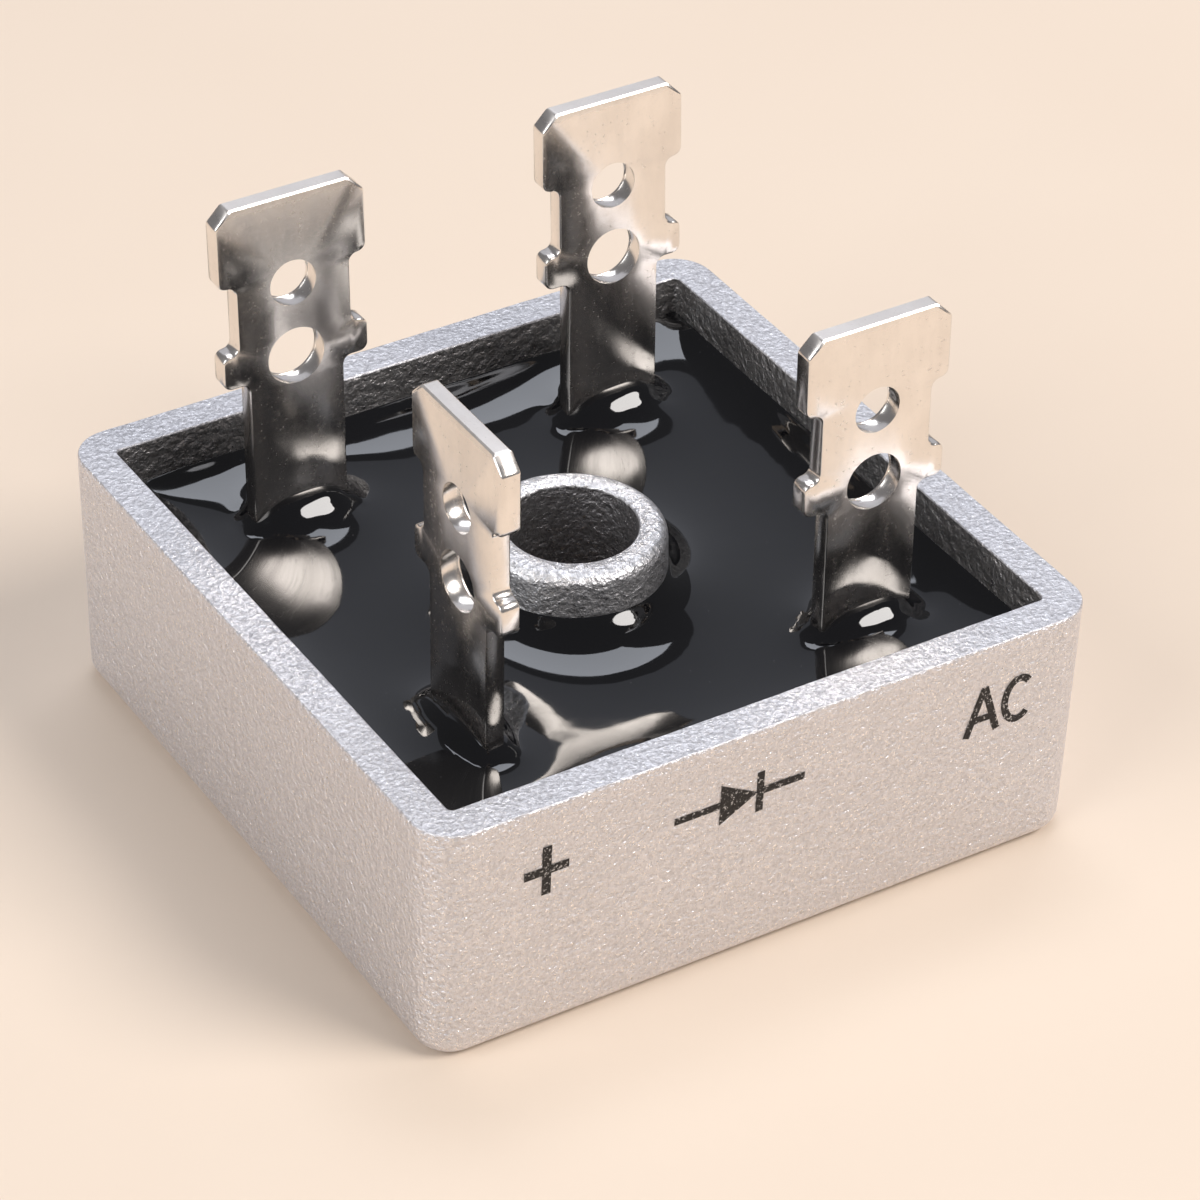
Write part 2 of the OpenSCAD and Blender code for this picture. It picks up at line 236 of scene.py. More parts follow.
class Rule:
    """A Geometry Nodes tree with named inputs, built node by node."""

    def __init__(self, name):
        self.tree = bpy.data.node_groups.new(name, "GeometryNodeTree")
        self.tree.interface.new_socket("Geometry", in_out="OUTPUT", socket_type="NodeSocketGeometry")
        self.start = self.tree.nodes.new("NodeGroupInput")
        self.end = self.tree.nodes.new("NodeGroupOutput")
        self.names = {}

    def size(self, name, default):
        item = self.tree.interface.new_socket(name, in_out="INPUT", socket_type="NodeSocketFloat")
        item.default_value = default
        self.names[name] = item.identifier
        return Size(self.tree, self.start.outputs[name])

    def material(self, name):
        item = self.tree.interface.new_socket(name, in_out="INPUT", socket_type="NodeSocketMaterial")
        self.names[name] = item.identifier
        return self.start.outputs[name]

    def add(self, kind, inputs=(), **settings):
        node = self.tree.nodes.new(kind)
        for key, value in settings.items():
            setattr(node, key, value)
        for key, value in dict(inputs).items():
            self.feed(node.inputs[key], value)
        return node

    def feed(self, socket, value):
        if isinstance(value, Size):
            value = value.socket
        if isinstance(value, bpy.types.NodeSocket):
            self.tree.links.new(value, socket)
        else:
            socket.default_value = value

    def point(self, x, y, z=0.0):
        return self.add("ShaderNodeCombineXYZ", {"X": x, "Y": y, "Z": z}).outputs[0]

    def parts(self, vector):
        node = self.add("ShaderNodeSeparateXYZ", {0: vector})
        return [Size(self.tree, socket) for socket in node.outputs]

    def pick(self, index, choices, kind="VECTOR"):
        """The choice that stands at an index."""
        node = self.add("GeometryNodeIndexSwitch", data_type=kind)
        while len(node.index_switch_items) < len(choices):
            node.index_switch_items.new()
        self.feed(node.inputs["Index"], index)
        for slot, choice in zip(node.inputs[1:], choices):
            self.feed(slot, choice)
        return node.outputs[0]

    def join(self, *shapes):
        node = self.add("GeometryNodeJoinGeometry")
        for shape in reversed(shapes):
            self.tree.links.new(shape, node.inputs[0])
        return node.outputs[0]

    def moved(self, shape, position=None, offset=None):
        inputs = {"Geometry": shape}
        if position is not None:
            inputs["Position"] = position
        if offset is not None:
            inputs["Offset"] = offset
        return self.add("GeometryNodeSetPosition", inputs).outputs[0]

    def finish(self, shape, material):
        """Ends the tree with plain geometry in one finish."""
        real = self.add("GeometryNodeRealizeInstances", {"Geometry": shape}).outputs[0]
        done = self.add("GeometryNodeSetMaterial", {"Geometry": real, "Material": material}).outputs[0]
        self.tree.links.new(done, self.end.inputs[0])

    def build(self, name, values):
        """Runs the tree once with its sizes and gives back a plain object."""
        carrier = bpy.data.objects.new(name + "_rule", bpy.data.meshes.new(name + "_rule"))
        bpy.context.scene.collection.objects.link(carrier)
        modifier = carrier.modifiers.new("rule", "NODES")
        modifier.node_group = self.tree
        for key, value in values.items():
            modifier[self.names[key]] = value
        view = bpy.context.evaluated_depsgraph_get()
        mesh = bpy.data.meshes.new_from_object(carrier.evaluated_get(view))
        bpy.data.objects.remove(carrier)
        return add_piece(name, mesh)


# ---------------------------------------------------------------- mesh helpers

def add_piece(name, mesh):
    piece = bpy.data.objects.new(name, mesh)
    mesh.name = name
    bpy.context.scene.collection.objects.link(piece)
    return piece


def smooth(mesh, angle):
    """Smooth shading that stays crisp along edges sharper than the angle."""
    for face in mesh.polygons:
        face.use_smooth = True
    mesh.set_sharp_from_angle(angle=math.radians(angle))


def square_ring(half, corner_r, level, along, round_corner):
    """Ring of points on a square with round corners. The level may follow the place on the ring."""
    ring = []
    reach = half - corner_r
    for quarter in range(4):
        turn = Matrix.Rotation(quarter * math.pi / 2, 2)
        local = [Vector((half, -reach + 2 * reach * k / along)) for k in range(along)]
        for k in range(round_corner):
            bend = k / round_corner * math.pi / 2
            local.append(Vector((reach + corner_r * math.cos(bend), reach + corner_r * math.sin(bend))))
        ring += [turn @ spot for spot in local]
    return [Vector((spot.x, spot.y, level)) for spot in ring]


def round_ring(radius, level, like):
    """Ring of points on a circle, each in the same direction as a point of another ring."""
    return [Vector((p.x, p.y, 0)).normalized() * radius + Vector((0, 0, level)) for p in like]


def mixed_ring(first, second, share):
    return [a.lerp(b, share) for a, b in zip(first, second)]


def bends(steps, first=0):
    """Angles of a quarter turn in equal steps, for rounded edges."""
    return [k / steps * math.pi / 2 for k in range(first, steps + 1)]


def skin(rings, bands=None):
    """Closed mesh through a loop of rings, in millimetres, with a finish number for each band."""
    count = len(rings[0])
    spots = [p * MM for ring in rings for p in ring]
    faces = []
    finish = []
    for k in range(len(rings)):
        a, b = k * count, (k + 1) % len(rings) * count
        for i in range(count):
            j = (i + 1) % count
            faces.append((a + i, a + j, b + j, b + i))
            finish.append(bands[k] if bands else 0)
    mesh = bpy.data.meshes.new("skin")
    mesh.from_pydata(spots, [], faces)
    mesh.polygons.foreach_set("material_index", finish)
    return mesh


def wave(place, size, seed=0.0):
    """Slow unevenness between -1 and 1, with waves of about the given size."""
    return noise.noise(Vector(place) / size + Vector((seed, seed * 1.7, seed * 0.3)))


# ---------------------------------------------------------------- sizes shared by the pieces, in mm

CASE_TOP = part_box("case")[1]
CASE_HALF = CASE_TOP.x / MM
CASE_H = CASE_TOP.z / MM
CASE_DRAFT = 0.2
CASE_CORNER_R = 1.65
BASE_EDGE_R = 0.8
WALL_T = 1.5
CAVITY_DRAFT = 0.25
CAVITY_CORNER_R = 0.25
FLOOR_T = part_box("potting")[0].z / MM
BORE_R = 2.55
BORE_TOP_EDGE_R = 0.12
BORE_BASE_EDGE_R = 0.1
BOSS_R = 3.65
BOSS_DRAFT = 0.3
BOSS_EDGE_R = 0.5
RIM_EDGE_R = 0.1
LIP_EDGE_R = RIM_EDGE_R * 0.8
BLADE_T = 0.8
BEND_R = 0.4
STEM_W = 4.05

# the resin: level of its flat, how high it wets walls and boss, and how far its slopes run out
POOL_Z = CASE_H - 3.15
WALL_RISE = 1.55
BOSS_RISE = 1.5
CREEP = 1.95

# the bead where it climbs a blade: reach from the sheet, and the shares by which it narrows and falls
BEAD_REACH = 0.78
BEAD_NARROWS = 0.35
BEAD_FALLS = 0.38


def cavity_half(level):
    return CASE_HALF - WALL_T - CAVITY_DRAFT * (CASE_H - level) / (CASE_H - FLOOR_T)


def boss_radius(level):
    return BOSS_R + BOSS_DRAFT * (CASE_H - level) / (CASE_H - FLOOR_T)


# ---------------------------------------------------------------- die-cast case

def cast_case(finishes):
    """Square tray with a boss, as one skin: under the base, over the rim, up the boss and down the bore."""
    along, corner = 72, 12
    like = square_ring(1.0, 0.12, 0, along, corner)
    rings = []
    bands = []

    def ring(points, finish):
        rings.append(points)
        bands.append(finish)

    def outer(level, inset=0.0):
        drawn = CASE_DRAFT * (CASE_H - level) / CASE_H + inset
        return square_ring(CASE_HALF - drawn, CASE_CORNER_R - drawn, level, along, corner)

    sides, rim, inside, boss, bore = range(5)
    for bend in bends(3):
        radius = BORE_R + BORE_BASE_EDGE_R * (1 - math.cos(bend))
        ring(round_ring(radius, BORE_BASE_EDGE_R * (1 - math.sin(bend)), like), sides)
    mouth, foot = rings[-1], outer(0, BASE_EDGE_R)
    for share in (0.25, 0.5, 0.75):
        ring(mixed_ring(mouth, foot, share), sides)
    for bend in bends(8):
        inset = BASE_EDGE_R * (1 - math.sin(bend))
        ring(outer(BASE_EDGE_R * (1 - math.cos(bend)), inset), sides)
    for k in range(1, 15):
        ring(outer(BASE_EDGE_R + (CASE_H - RIM_EDGE_R - BASE_EDGE_R) * k / 15), sides)
    for bend in bends(3):
        inset = RIM_EDGE_R * (1 - math.cos(bend))
        ring(outer(CASE_H - RIM_EDGE_R * (1 - math.sin(bend)), inset), rim if bend else sides)
    brow = rings[-1]

    def inner(level, widen=0.0):
        return square_ring(cavity_half(level) + widen, CAVITY_CORNER_R + widen, level, along, corner)

    lip = inner(CASE_H, LIP_EDGE_R)
    for share in (0.2, 0.4, 0.6, 0.8):
        ring(mixed_ring(brow, lip, share), rim)
    for k, bend in enumerate(bends(3)):
        widen = LIP_EDGE_R * (1 - math.sin(bend))
        ring(inner(CASE_H - LIP_EDGE_R * (1 - math.cos(bend)), widen), rim if k < 3 else inside)
    for k in range(1, 13):
        ring(inner(CASE_H - RIM_EDGE_R - (CASE_H - RIM_EDGE_R - FLOOR_T) * k / 12), inside)
    bed = rings[-1]
    root = round_ring(boss_radius(FLOOR_T), FLOOR_T, like)
    for share in (0.33, 0.66, 1.0):
        ring(mixed_ring(bed, root, share), boss if share == 1.0 else inside)
    top = CASE_H - BOSS_EDGE_R
    for k in range(1, 9):
        level = FLOOR_T + (top - FLOOR_T) * k / 8
        ring(round_ring(boss_radius(level), level, like), boss)
    for bend in bends(5, 1):
        radius = boss_radius(top) - BOSS_EDGE_R * (1 - math.cos(bend))
        ring(round_ring(radius, top + BOSS_EDGE_R * math.sin(bend), like), boss)
    for k, bend in enumerate(bends(4, 1)):
        radius = BORE_R + BORE_TOP_EDGE_R * (1 - math.sin(bend))
        level = CASE_H - BORE_TOP_EDGE_R * (1 - math.cos(bend))
        ring(round_ring(radius, level, like), boss if k < 3 else bore)
    depth = CASE_H - BORE_TOP_EDGE_R - BORE_BASE_EDGE_R
    for k in range(1, 8):
        ring(round_ring(BORE_R, CASE_H - BORE_TOP_EDGE_R - depth * k / 8, like), bore)

    # a cast and tumbled face is never quite true and the rim has a trace of burr; base and bore stay true
    base_band, bore_band, rim_band = 0.5, 3.0, 0.02
    long_wave, short_wave, burr = 0.012, 0.008, 0.01
    for level_ring in rings:
        for spot in level_ring:
            away = Vector((spot.x, spot.y, 0)).normalized()
            shift = long_wave * wave(spot, 3.0) + short_wave * wave(spot, 0.7, 5.0)
            if spot.z > base_band and spot.to_2d().length > bore_band:
                spot += away * shift
            if spot.z > CASE_H - rim_band:
                fall = long_wave + long_wave * wave(spot, 0.5, 9.0) + burr * wave(spot, 2.5, 2.0)
                spot.z = CASE_H - fall
    mesh = skin(rings, bands)
    for finish in finishes:
        mesh.materials.append(finish)
    smooth(mesh, 40)
    return add_piece("aluminium_case", mesh)


# ---------------------------------------------------------------- potting resin

class BladeSeat:
    """Where a blade leaves the resin: its centre, the direction of its width, its lean to +X and +Y in
    degrees, and how high the resin wets it from side to side, in millimetres above the flat."""

    def __init__(self, node, width_along_y, lean, wet_left, wet_middle, wet_right):
        low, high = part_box(node)
        self.node = node
        self.width_along_y = width_along_y
        self.tip = high.z / MM
        self.foot = low.z / MM
        self.turn = math.radians(90 if width_along_y else 180)
        if width_along_y:
            self.centre = Vector((high.x / MM - BLADE_T / 2, (low.y + high.y) / 2 / MM))
            self.reach = (high.x - low.x) / MM - BLADE_T / 2
        else:
            self.centre = Vector(((low.x + high.x) / 2 / MM, high.y / MM - BLADE_T / 2))
            self.reach = (high.y - low.y) / MM - BLADE_T / 2
        self.lean = lean
        self.wet = (wet_left, wet_middle, wet_right)


class ResinPool:
    """Top face of the resin. It clings to the walls, the boss and the blades and sinks to a flat between
    them, as a liquid that wets them does. The face is relaxed on a fine grid that covers the cavity."""

    COUNT = 321
    WALL_BAND = 0.06
    WALL_UNEVEN = 0.05
    SWEEPS = 700
    SWEEPS_PER_SLOPE = 60
    OVERSHOOT = 1.85
    SMOOTHINGS = 7

    def __init__(self, seats):
        self.half = cavity_half(POOL_Z + WALL_RISE) + 0.05
        self.step = 2 * self.half / (self.COUNT - 1)
        line = np.linspace(-self.half, self.half, self.COUNT)
        x, y = np.meshgrid(line, line, indexing="ij")
        unevenness = np.array([[wave((px, py, 0), 3.5, 8.0) for py in line[::8]] for px in line[::8]])
        unevenness = np.kron(unevenness, np.ones((8, 8)))[:self.COUNT, :self.COUNT]
        height = np.zeros_like(x)
        held = np.zeros(x.shape, bool)
        wall = np.maximum(abs(x), abs(y)) > self.half - self.WALL_BAND
        height[wall] = (WALL_RISE * (1 + self.WALL_UNEVEN * unevenness))[wall]
        boss = np.hypot(x, y) < boss_radius(POOL_Z + BOSS_RISE)
        height[boss] = BOSS_RISE
        held |= wall | boss
        for seat in seats:
            dx, dy = x - seat.centre.x, y - seat.centre.y
            a, c = (-dy, dx) if seat.width_along_y else (dx, dy)
            beyond = np.hypot(np.maximum(abs(a) - STEM_W / 2, 0), np.maximum(abs(c) - BLADE_T / 2, 0))
            share = np.clip(a / STEM_W * 2, -1, 1)
            reach = BEAD_REACH * (1 - BEAD_NARROWS * share ** 2)
            bead = beyond < reach
            left, middle, right = seat.wet
            contact = middle + (right - left) / 2 * share + ((left + right) / 2 - middle) * abs(share) ** 3
            contact *= 1 - BEAD_FALLS * (beyond / reach) ** 2
            height[bead] = contact[bead]
            held |= bead
        self.height = self.relax(height, held)

    def relax(self, height, held):
        """Repeated averaging with a sink towards the flat, over red and black squares in turn. Steep places
        pull less, as on a real surface. A last smoothing rounds the foot of each bead."""
        sink = (self.step / CREEP) ** 2
        i, j = np.indices(height.shape)
        inside = np.zeros(height.shape, bool)
        inside[1:-1, 1:-1] = True
        colours = [inside & ~held & ((i + j) % 2 == k) for k in (0, 1)]
        neighbours = [(1, 0), (-1, 0), (1, 1), (-1, 1)]
        for sweep in range(self.SWEEPS):
            if sweep % self.SWEEPS_PER_SLOPE == 0:
                gx, gy = np.gradient(height, self.step)
                stiff = 1 / np.sqrt(1 + gx ** 2 + gy ** 2)
                weights = [(stiff + np.roll(stiff, *side)) / 2 for side in neighbours]
            for colour in colours:
                around = sum(weight * np.roll(height, *side) for weight, side in zip(weights, neighbours))
                aim = around / (sum(weights) + sink)
                height[colour] += self.OVERSHOOT * (aim - height)[colour]
        for axis in (0, 1) * self.SMOOTHINGS:
            height = height / 2 + (np.roll(height, 1, axis) + np.roll(height, -1, axis)) / 4
        return height

    def level(self, x, y):
        """Level of the resin at a place, read smoothly from the grid."""
        u = min(max((x + self.half) / self.step, 0), self.COUNT - 1.001)
        v = min(max((y + self.half) / self.step, 0), self.COUNT - 1.001)
        i, j = int(u), int(v)
        u, v = u - i, v - j
        grid = self.height
        near = grid[i, j] * (1 - u) * (1 - v) + grid[i + 1, j] * u * (1 - v)
        near += grid[i, j + 1] * (1 - u) * v + grid[i + 1, j + 1] * u * v
        return POOL_Z + near + 0.010 * wave((x, y, 0), 4.5, 3.0) + 0.003 * wave((x, y, 0), 1.6, 6.0)


def poured_resin(seats, finish):
    """Block of resin with a wetted top face, from the floor of the case to its walls."""
    along, corner, steps, lap, crowding = 150, 10, 118, 0.04, 0.09
    pool = ResinPool(seats)
    like = square_ring(1.0, 0.04, 0, along, corner)
    inner = round_ring(boss_radius(POOL_Z + BOSS_RISE) - lap, 0, like)
    outer = square_ring(cavity_half(POOL_Z + WALL_RISE) + lap, CAVITY_CORNER_R, 0, along, corner)
    top = []
    for k in range(steps + 1):
        share = k / steps
        share -= crowding * math.sin(2 * math.pi * share)  # closer together at the boss and the walls
        points = mixed_ring(inner, outer, share)
        for spot in points:
            spot.z = pool.level(spot.x, spot.y)
        top.append(points)
    base_in = round_ring(boss_radius(FLOOR_T), FLOOR_T, like)
    base_out = square_ring(cavity_half(FLOOR_T), CAVITY_CORNER_R, FLOOR_T, along, corner)
    mesh = skin([base_in, *top, base_out])
    mesh.materials.append(finish)
    smooth(mesh, 75)
    return add_piece("potting_resin", mesh)


# ---------------------------------------------------------------- push-on blades

def blade_rule():
    """Blanked, pierced and folded blade: a flat blank with round corners, bent into its foot."""
    rule = Rule("push_on_blade")
    head_w = rule.size("Head width", 6.3 * MM)
    chamfer = rule.size("Tip chamfer", 0.64 * MM)
    head_len = rule.size("Head length", 3.3 * MM)
    notch_len = rule.size("Notch length", 2.95 * MM)
    waist_w = rule.size("Waist width", 4.85 * MM)
    ear_w = rule.size("Ear width", 6.2 * MM)
    ear_len = rule.size("Ear length", 1.45 * MM)
    stem_w = rule.size("Stem width", STEM_W * MM)
    corner_r = rule.size("Corner rounding", 0.36 * MM)
    detent_d = rule.size("Detent diameter", 2.1 * MM)
    detent_drop = rule.size("Detent drop", 3.8 * MM)
    wire_d = rule.size("Wire hole diameter", 2.55 * MM)
    wire_drop = rule.size("Wire hole drop", 7.0 * MM)
    sheet_t = rule.size("Sheet thickness", BLADE_T * MM)
    coin = rule.size("Coined bevel", 0.12 * MM)
    roll = rule.size("Rolled edge", 0.07 * MM)
    bend_drop = rule.size("Bend drop", 17.2 * MM)
    bend_r = rule.size("Bend radius", BEND_R * MM)
    reach = rule.size("Foot reach", 4.0 * MM)
    finish = rule.material("Finish")

    # outline of the blank: the right half, then its mirror image
    notch = -head_len - notch_len
    ear = notch - ear_len
    mid_r = bend_r + sheet_t * 0.5
    arc = mid_r * (math.pi / 2)
    end = reach - mid_r
    bend_steps = 7
    right = [(head_w * 0.5 - chamfer, 0.0), (head_w * 0.5, -chamfer), (head_w * 0.5, -head_len),
             (waist_w * 0.5, -head_len), (waist_w * 0.5, notch), (ear_w * 0.5, notch), (ear_w * 0.5, ear),
             (stem_w * 0.5, ear)]
    right += [(stem_w * 0.5, -bend_drop - arc * (k / bend_steps)) for k in range(bend_steps + 1)]
    right += [(stem_w * 0.5, -bend_drop - arc - end)]
    count = len(right)
    index = rule.add("GeometryNodeInputIndex").outputs[0]
    order = Size(rule.tree, index)
    mirrored = order.sum("MINIMUM", (2 * count - 1) - order)
    side = order.sum("LESS_THAN", count - 0.5) * 2.0 - 1.0
    spot = rule.parts(rule.pick(mirrored, [rule.point(x, y) for x, y in right]))
    blank = rule.add("GeometryNodeCurvePrimitiveCircle", {"Resolution": 2 * count}, mode="RADIUS").outputs[0]
    blank = rule.moved(blank, position=rule.point(spot[0] * side, spot[1]))
    tip_r, foot_r = 0.22 * MM, 0.1 * MM
    radii = [tip_r] * 2 + [corner_r] * 6 + [0.0] * (bend_steps + 1) + [foot_r]
    rounding = rule.pick(mirrored, radii, "FLOAT")
    blank = rule.add("GeometryNodeFilletCurve", {"Curve": blank, "Count": 6, "Radius": rounding,
                                                 "Limit Radius": True}, mode="POLY").outputs[0]
    holes = []
    for diameter, drop in ((detent_d, detent_drop), (wire_d, wire_drop)):
        hole = rule.add("GeometryNodeCurvePrimitiveCircle", {"Resolution": 56, "Radius": diameter * 0.5},
                        mode="RADIUS").outputs[0]
        holes.append(rule.moved(hole, offset=rule.point(0.0, -drop)))
    blank = rule.add("GeometryNodeReverseCurve", {"Curve": blank}).outputs[0]
    loops = rule.join(blank, *holes)
    loops = rule.add("GeometryNodeSetCurveNormal", {"Curve": loops}, mode="Z_UP").outputs[0]

    # sheared wall with rolled edges, swept round every loop
    half_t = sheet_t * 0.5
    slant = roll * 0.35
    wall = [(-roll, half_t), (-slant, half_t - slant), (0.0, half_t - roll), (0.0, roll - half_t),
            (-slant, slant - half_t), (-roll, -half_t)]
    profile = rule.add("GeometryNodeMeshLine", {"Count": len(wall)}).outputs[0]
    profile = rule.moved(profile, position=rule.pick(index, [rule.point(x, y) for x, y in wall]))
    profile = rule.add("GeometryNodeMeshToCurve", {"Mesh": profile}).outputs[0]
    edge = rule.add("GeometryNodeCurveToMesh", {"Curve": loops, "Profile Curve": profile}).outputs[0]

    # the two faces close the wall
    tangent = rule.parts(rule.add("GeometryNodeInputTangent").outputs[0])
    inset = rule.moved(loops, offset=rule.point(-(tangent[1] * roll), tangent[0] * roll))
    face = rule.add("GeometryNodeFillCurve", {"Curve": inset}, mode="TRIANGLES").outputs[0]
    front = rule.moved(face, offset=rule.point(0.0, 0.0, half_t))
    back = rule.moved(face, offset=rule.point(0.0, 0.0, -half_t))
    back = rule.add("GeometryNodeFlipFaces", {"Mesh": back}).outputs[0]
    body = rule.join(edge, front, back)
    body = rule.add("GeometryNodeMergeByDistance", {"Geometry": body, "Distance": 0.002 * MM}).outputs[0]

    # the place on the flat blank is kept for the finish, then the sheet is coined and folded
    flat = rule.add("GeometryNodeInputPosition").outputs[0]
    body = rule.add("GeometryNodeStoreNamedAttribute", {"Geometry": body, "Name": "blank", "Value": flat},
                    data_type="FLOAT_VECTOR", domain="POINT").outputs[0]
    across, drop, thick = rule.parts(flat)
    depth = thick.sum("ABSOLUTE")
    room = half_t - (drop + coin)
    squeezed = depth.sum("MINIMUM", room) * thick.sum("SIGN")
    body = rule.moved(body, position=rule.point(across, drop, squeezed))
    across, drop, thick = rule.parts(rule.add("GeometryNodeInputPosition").outputs[0])
    past = (-drop - bend_drop).sum("MAXIMUM", 0.0)
    turned = (past.sum("MINIMUM", arc)) / mid_r
    run = (past - arc).sum("MAXIMUM", 0.0)
    radius = mid_r + thick
    upright = drop.sum("MAXIMUM", -bend_drop)
    y = mid_r - radius * turned.sum("COSINE") + run
    z = upright - radius * turned.sum("SINE")
    body = rule.moved(body, position=rule.point(across, y, z))
    rule.finish(body, finish)
    return rule


def push_on_blade(rule, seat, plating, sheared):
    """One blade from the rule, set at its place and leaning a little as it was pushed into the resin."""
    bend_drop = seat.tip - seat.foot - BLADE_T - BEND_R
    piece = rule.build(seat.node.replace("terminal", "blade"),
                       {"Bend drop": bend_drop * MM, "Foot reach": seat.reach * MM, "Finish": plating})
    mesh = piece.data
    cut_span = 0.3 * MM
    turn = Matrix.Rotation(seat.turn, 3, "Z")
    place = Vector((seat.centre.x, seat.centre.y, seat.tip)) * MM
    lean_x, lean_y = (math.tan(math.radians(v)) for v in seat.lean)
    for vertex in mesh.vertices:
        spot = turn @ vertex.co + place
        above = max(spot.z - POOL_Z * MM, 0)
        vertex.co = spot + Vector((lean_x * above, lean_y * above, 0))
    shape = bmesh.new()
    shape.from_mesh(mesh)
    bmesh.ops.remove_doubles(shape, verts=shape.verts, dist=0.001 * MM)
    bmesh.ops.recalc_face_normals(shape, faces=shape.faces)
    shape.to_mesh(mesh)
    shape.free()
    mesh.materials.append(sheared)
    flat = mesh.attributes["blank"].data
    for face in mesh.polygons:
        thick = [flat[k].vector.z for k in face.vertices]
        if max(thick) - min(thick) > cut_span:
            face.material_index = 1
    smooth(mesh, 35)
    return piece


# ---------------------------------------------------------------- finishes

def blasted_aluminium(name, dark, pale, rough, depth, size, painted_glint_strength=0.5):
    """Blasted cast aluminium: relief, painted shade in its pits, painted highlight on its crests, clouds,
    painted glints.
    """
    shade = Shade(name)
    fine = shade.grain(size, 2.5, 0.6)
    pits = shade.grain(size * 2.0, 1.5, 0.5)
    specks = shade.grain(size * 0.55, 1.0, 0.5, warp=0.8)
    cloud = shade.grain(2.6, 3.0, 0.55)
    # painted shade and painted highlight: the colour darkens in the pits and pales on the crests of the fine
    # grain, which also makes the relief
    tone = shade.blend(shade.between(fine, 0.36, 0.62), dark, pale)
    tone = shade.blend(shade.between(cloud, 0.35, 0.75, 0.0, 0.2), tone, dark)
    # painted glints: near-white specks in the colour, where the roughness is also a little lower
    painted_glint = shade.between(specks, 0.60, 0.68, 0.0, painted_glint_strength)
    tone = shade.blend(painted_glint, tone, (1.0, 0.99, 0.98))
    relief = shade.sum("ADD", fine, shade.sum("MULTIPLY", specks, 0.6))
    lumps = shade.bump(pits, depth * 1.6, 0.8)
    shade.set(Base_Color=tone, Metallic=1.0, Normal=shade.bump(relief, depth, 1.0, lumps))
    shade.set(Roughness=shade.sum("SUBTRACT", shade.between(fine, 0.3, 0.7, rough + 0.08, rough - 0.06),
                                  shade.sum("MULTIPLY", painted_glint, 0.3)))
    return shade.material


def gloss_resin():
    """Black epoxy that set with a glassy face, a little dust in it."""
    shade = Shade("black_epoxy")
    cloud = shade.grain(3.0, 2.0, 0.5)
    dust = shade.cells(0.9)
    tone = shade.blend(cloud, (0.0018, 0.0018, 0.0024), (0.0034, 0.0034, 0.0044))
    tone = shade.blend(shade.between(dust, 0.02, 0.035, 0.25, 0.0), tone, (0.16, 0.16, 0.17))
    shade.set(Base_Color=tone, Roughness=shade.between(cloud, 0.3, 0.7, 0.03, 0.055), IOR=1.54)
    shade.set(Normal=shade.bump(shade.grain(1.4, 1.5, 0.5), 0.004, 1.0))
    return shade.material


def blade_plating():
    """Satin plating over rolled sheet: soft clouds, faint lines along the blade and a few dull spots."""
    shade = Shade("satin_plating")
    flat = shade.sheet("blank")
    cloud = shade.grain(1.6, 3.0, 0.5)
    lines = shade.grain(0.12, 3.0, 0.6, shade.stretched((1.0, 0.03, 1.0), flat))
    streak = shade.grain(0.7, 3.0, 0.6, shade.stretched((1.0, 0.16, 1.0), flat))
    spots = shade.grain(0.16, 3.0, 0.65)
    tone = shade.blend(shade.between(cloud, 0.3, 0.7), (0.82, 0.77, 0.72), (0.90, 0.85, 0.80))
    tone = shade.blend(shade.between(streak, 0.45, 0.75, 0.0, 0.3), tone, (0.68, 0.63, 0.585))
    tone = shade.blend(shade.between(spots, 0.62, 0.74, 0.0, 0.4), tone, (0.50, 0.465, 0.44))
    drop = shade.add("ShaderNodeSeparateXYZ")
    shade.link(flat, drop.inputs[0])
    rough = shade.between(streak, 0.3, 0.7, 0.18, 0.25)
    rough = shade.sum("ADD", rough, shade.between(spots, 0.5, 0.75, 0.0, 0.08))
    rough = shade.sum("ADD", rough, shade.between(drop.outputs["Y"], -0.4 * MM, 0.0, 0.0, 0.22))
    relief = shade.bump(shade.grain(1.5, 1.5, 0.5), 0.008, 0.6)
    relief = shade.bump(lines, 0.0012, 0.7, relief)
    relief = shade.bump(spots, 0.0006, 0.6, relief)
    shade.set(Base_Color=tone, Metallic=1.0, Roughness=rough, Normal=relief)
    return shade.material


def sheared_edge():
    """Cut edge of the sheet: fine lines across the thickness, brighter where it was burnished."""
    shade = Shade("sheared_edge")
    flat = shade.sheet("blank")
    lines = shade.grain(0.07, 3.0, 0.7, shade.stretched((1.0, 1.0, 0.05), flat))
    cloud = shade.grain(0.5, 3.0, 0.6)
    tone = shade.blend(shade.between(lines, 0.35, 0.65), (0.50, 0.47, 0.44), (0.76, 0.72, 0.67))
    shade.set(Base_Color=tone, Metallic=1.0, Roughness=shade.between(cloud, 0.3, 0.7, 0.50, 0.66))
    shade.set(Normal=shade.bump(lines, 0.02, 0.8))
    return shade.material


def printed_ink():
    """Dark ink on the blasted face, worn through on the highest crests."""
    shade = Shade("marking_ink")
    fine = shade.grain(0.16, 2.5, 0.6)
    worn = shade.between(shade.grain(0.10, 2.0, 0.6), 0.60, 0.66)
    tone = shade.blend(worn, (0.014, 0.012, 0.012), (0.50, 0.47, 0.45))
    shade.set(Base_Color=tone, Roughness=0.5, Normal=shade.bump(fine, 0.05, 1.0))
    shade.body.inputs["Specular IOR Level"].default_value = 0.3
    return shade.material


def plain_metal(name, dark, pale, rough, size, depth, stretch=(1, 1, 1)):
    """Metal of a hidden piece: cloudy tone, rolling or flow lines and a trace of relief."""
    shade = Shade(name)
    cloud = shade.grain(size, 4.0, 0.6, shade.stretched(stretch))
    tone = shade.blend(shade.between(cloud, 0.3, 0.7), dark, pale)
    shade.set(Base_Color=tone, Metallic=1.0)
    shade.set(Roughness=shade.between(cloud, 0.3, 0.7, rough + 0.08, rough - 0.05))
    shade.set(Normal=shade.bump(cloud, depth, 0.8))
    return shade.material


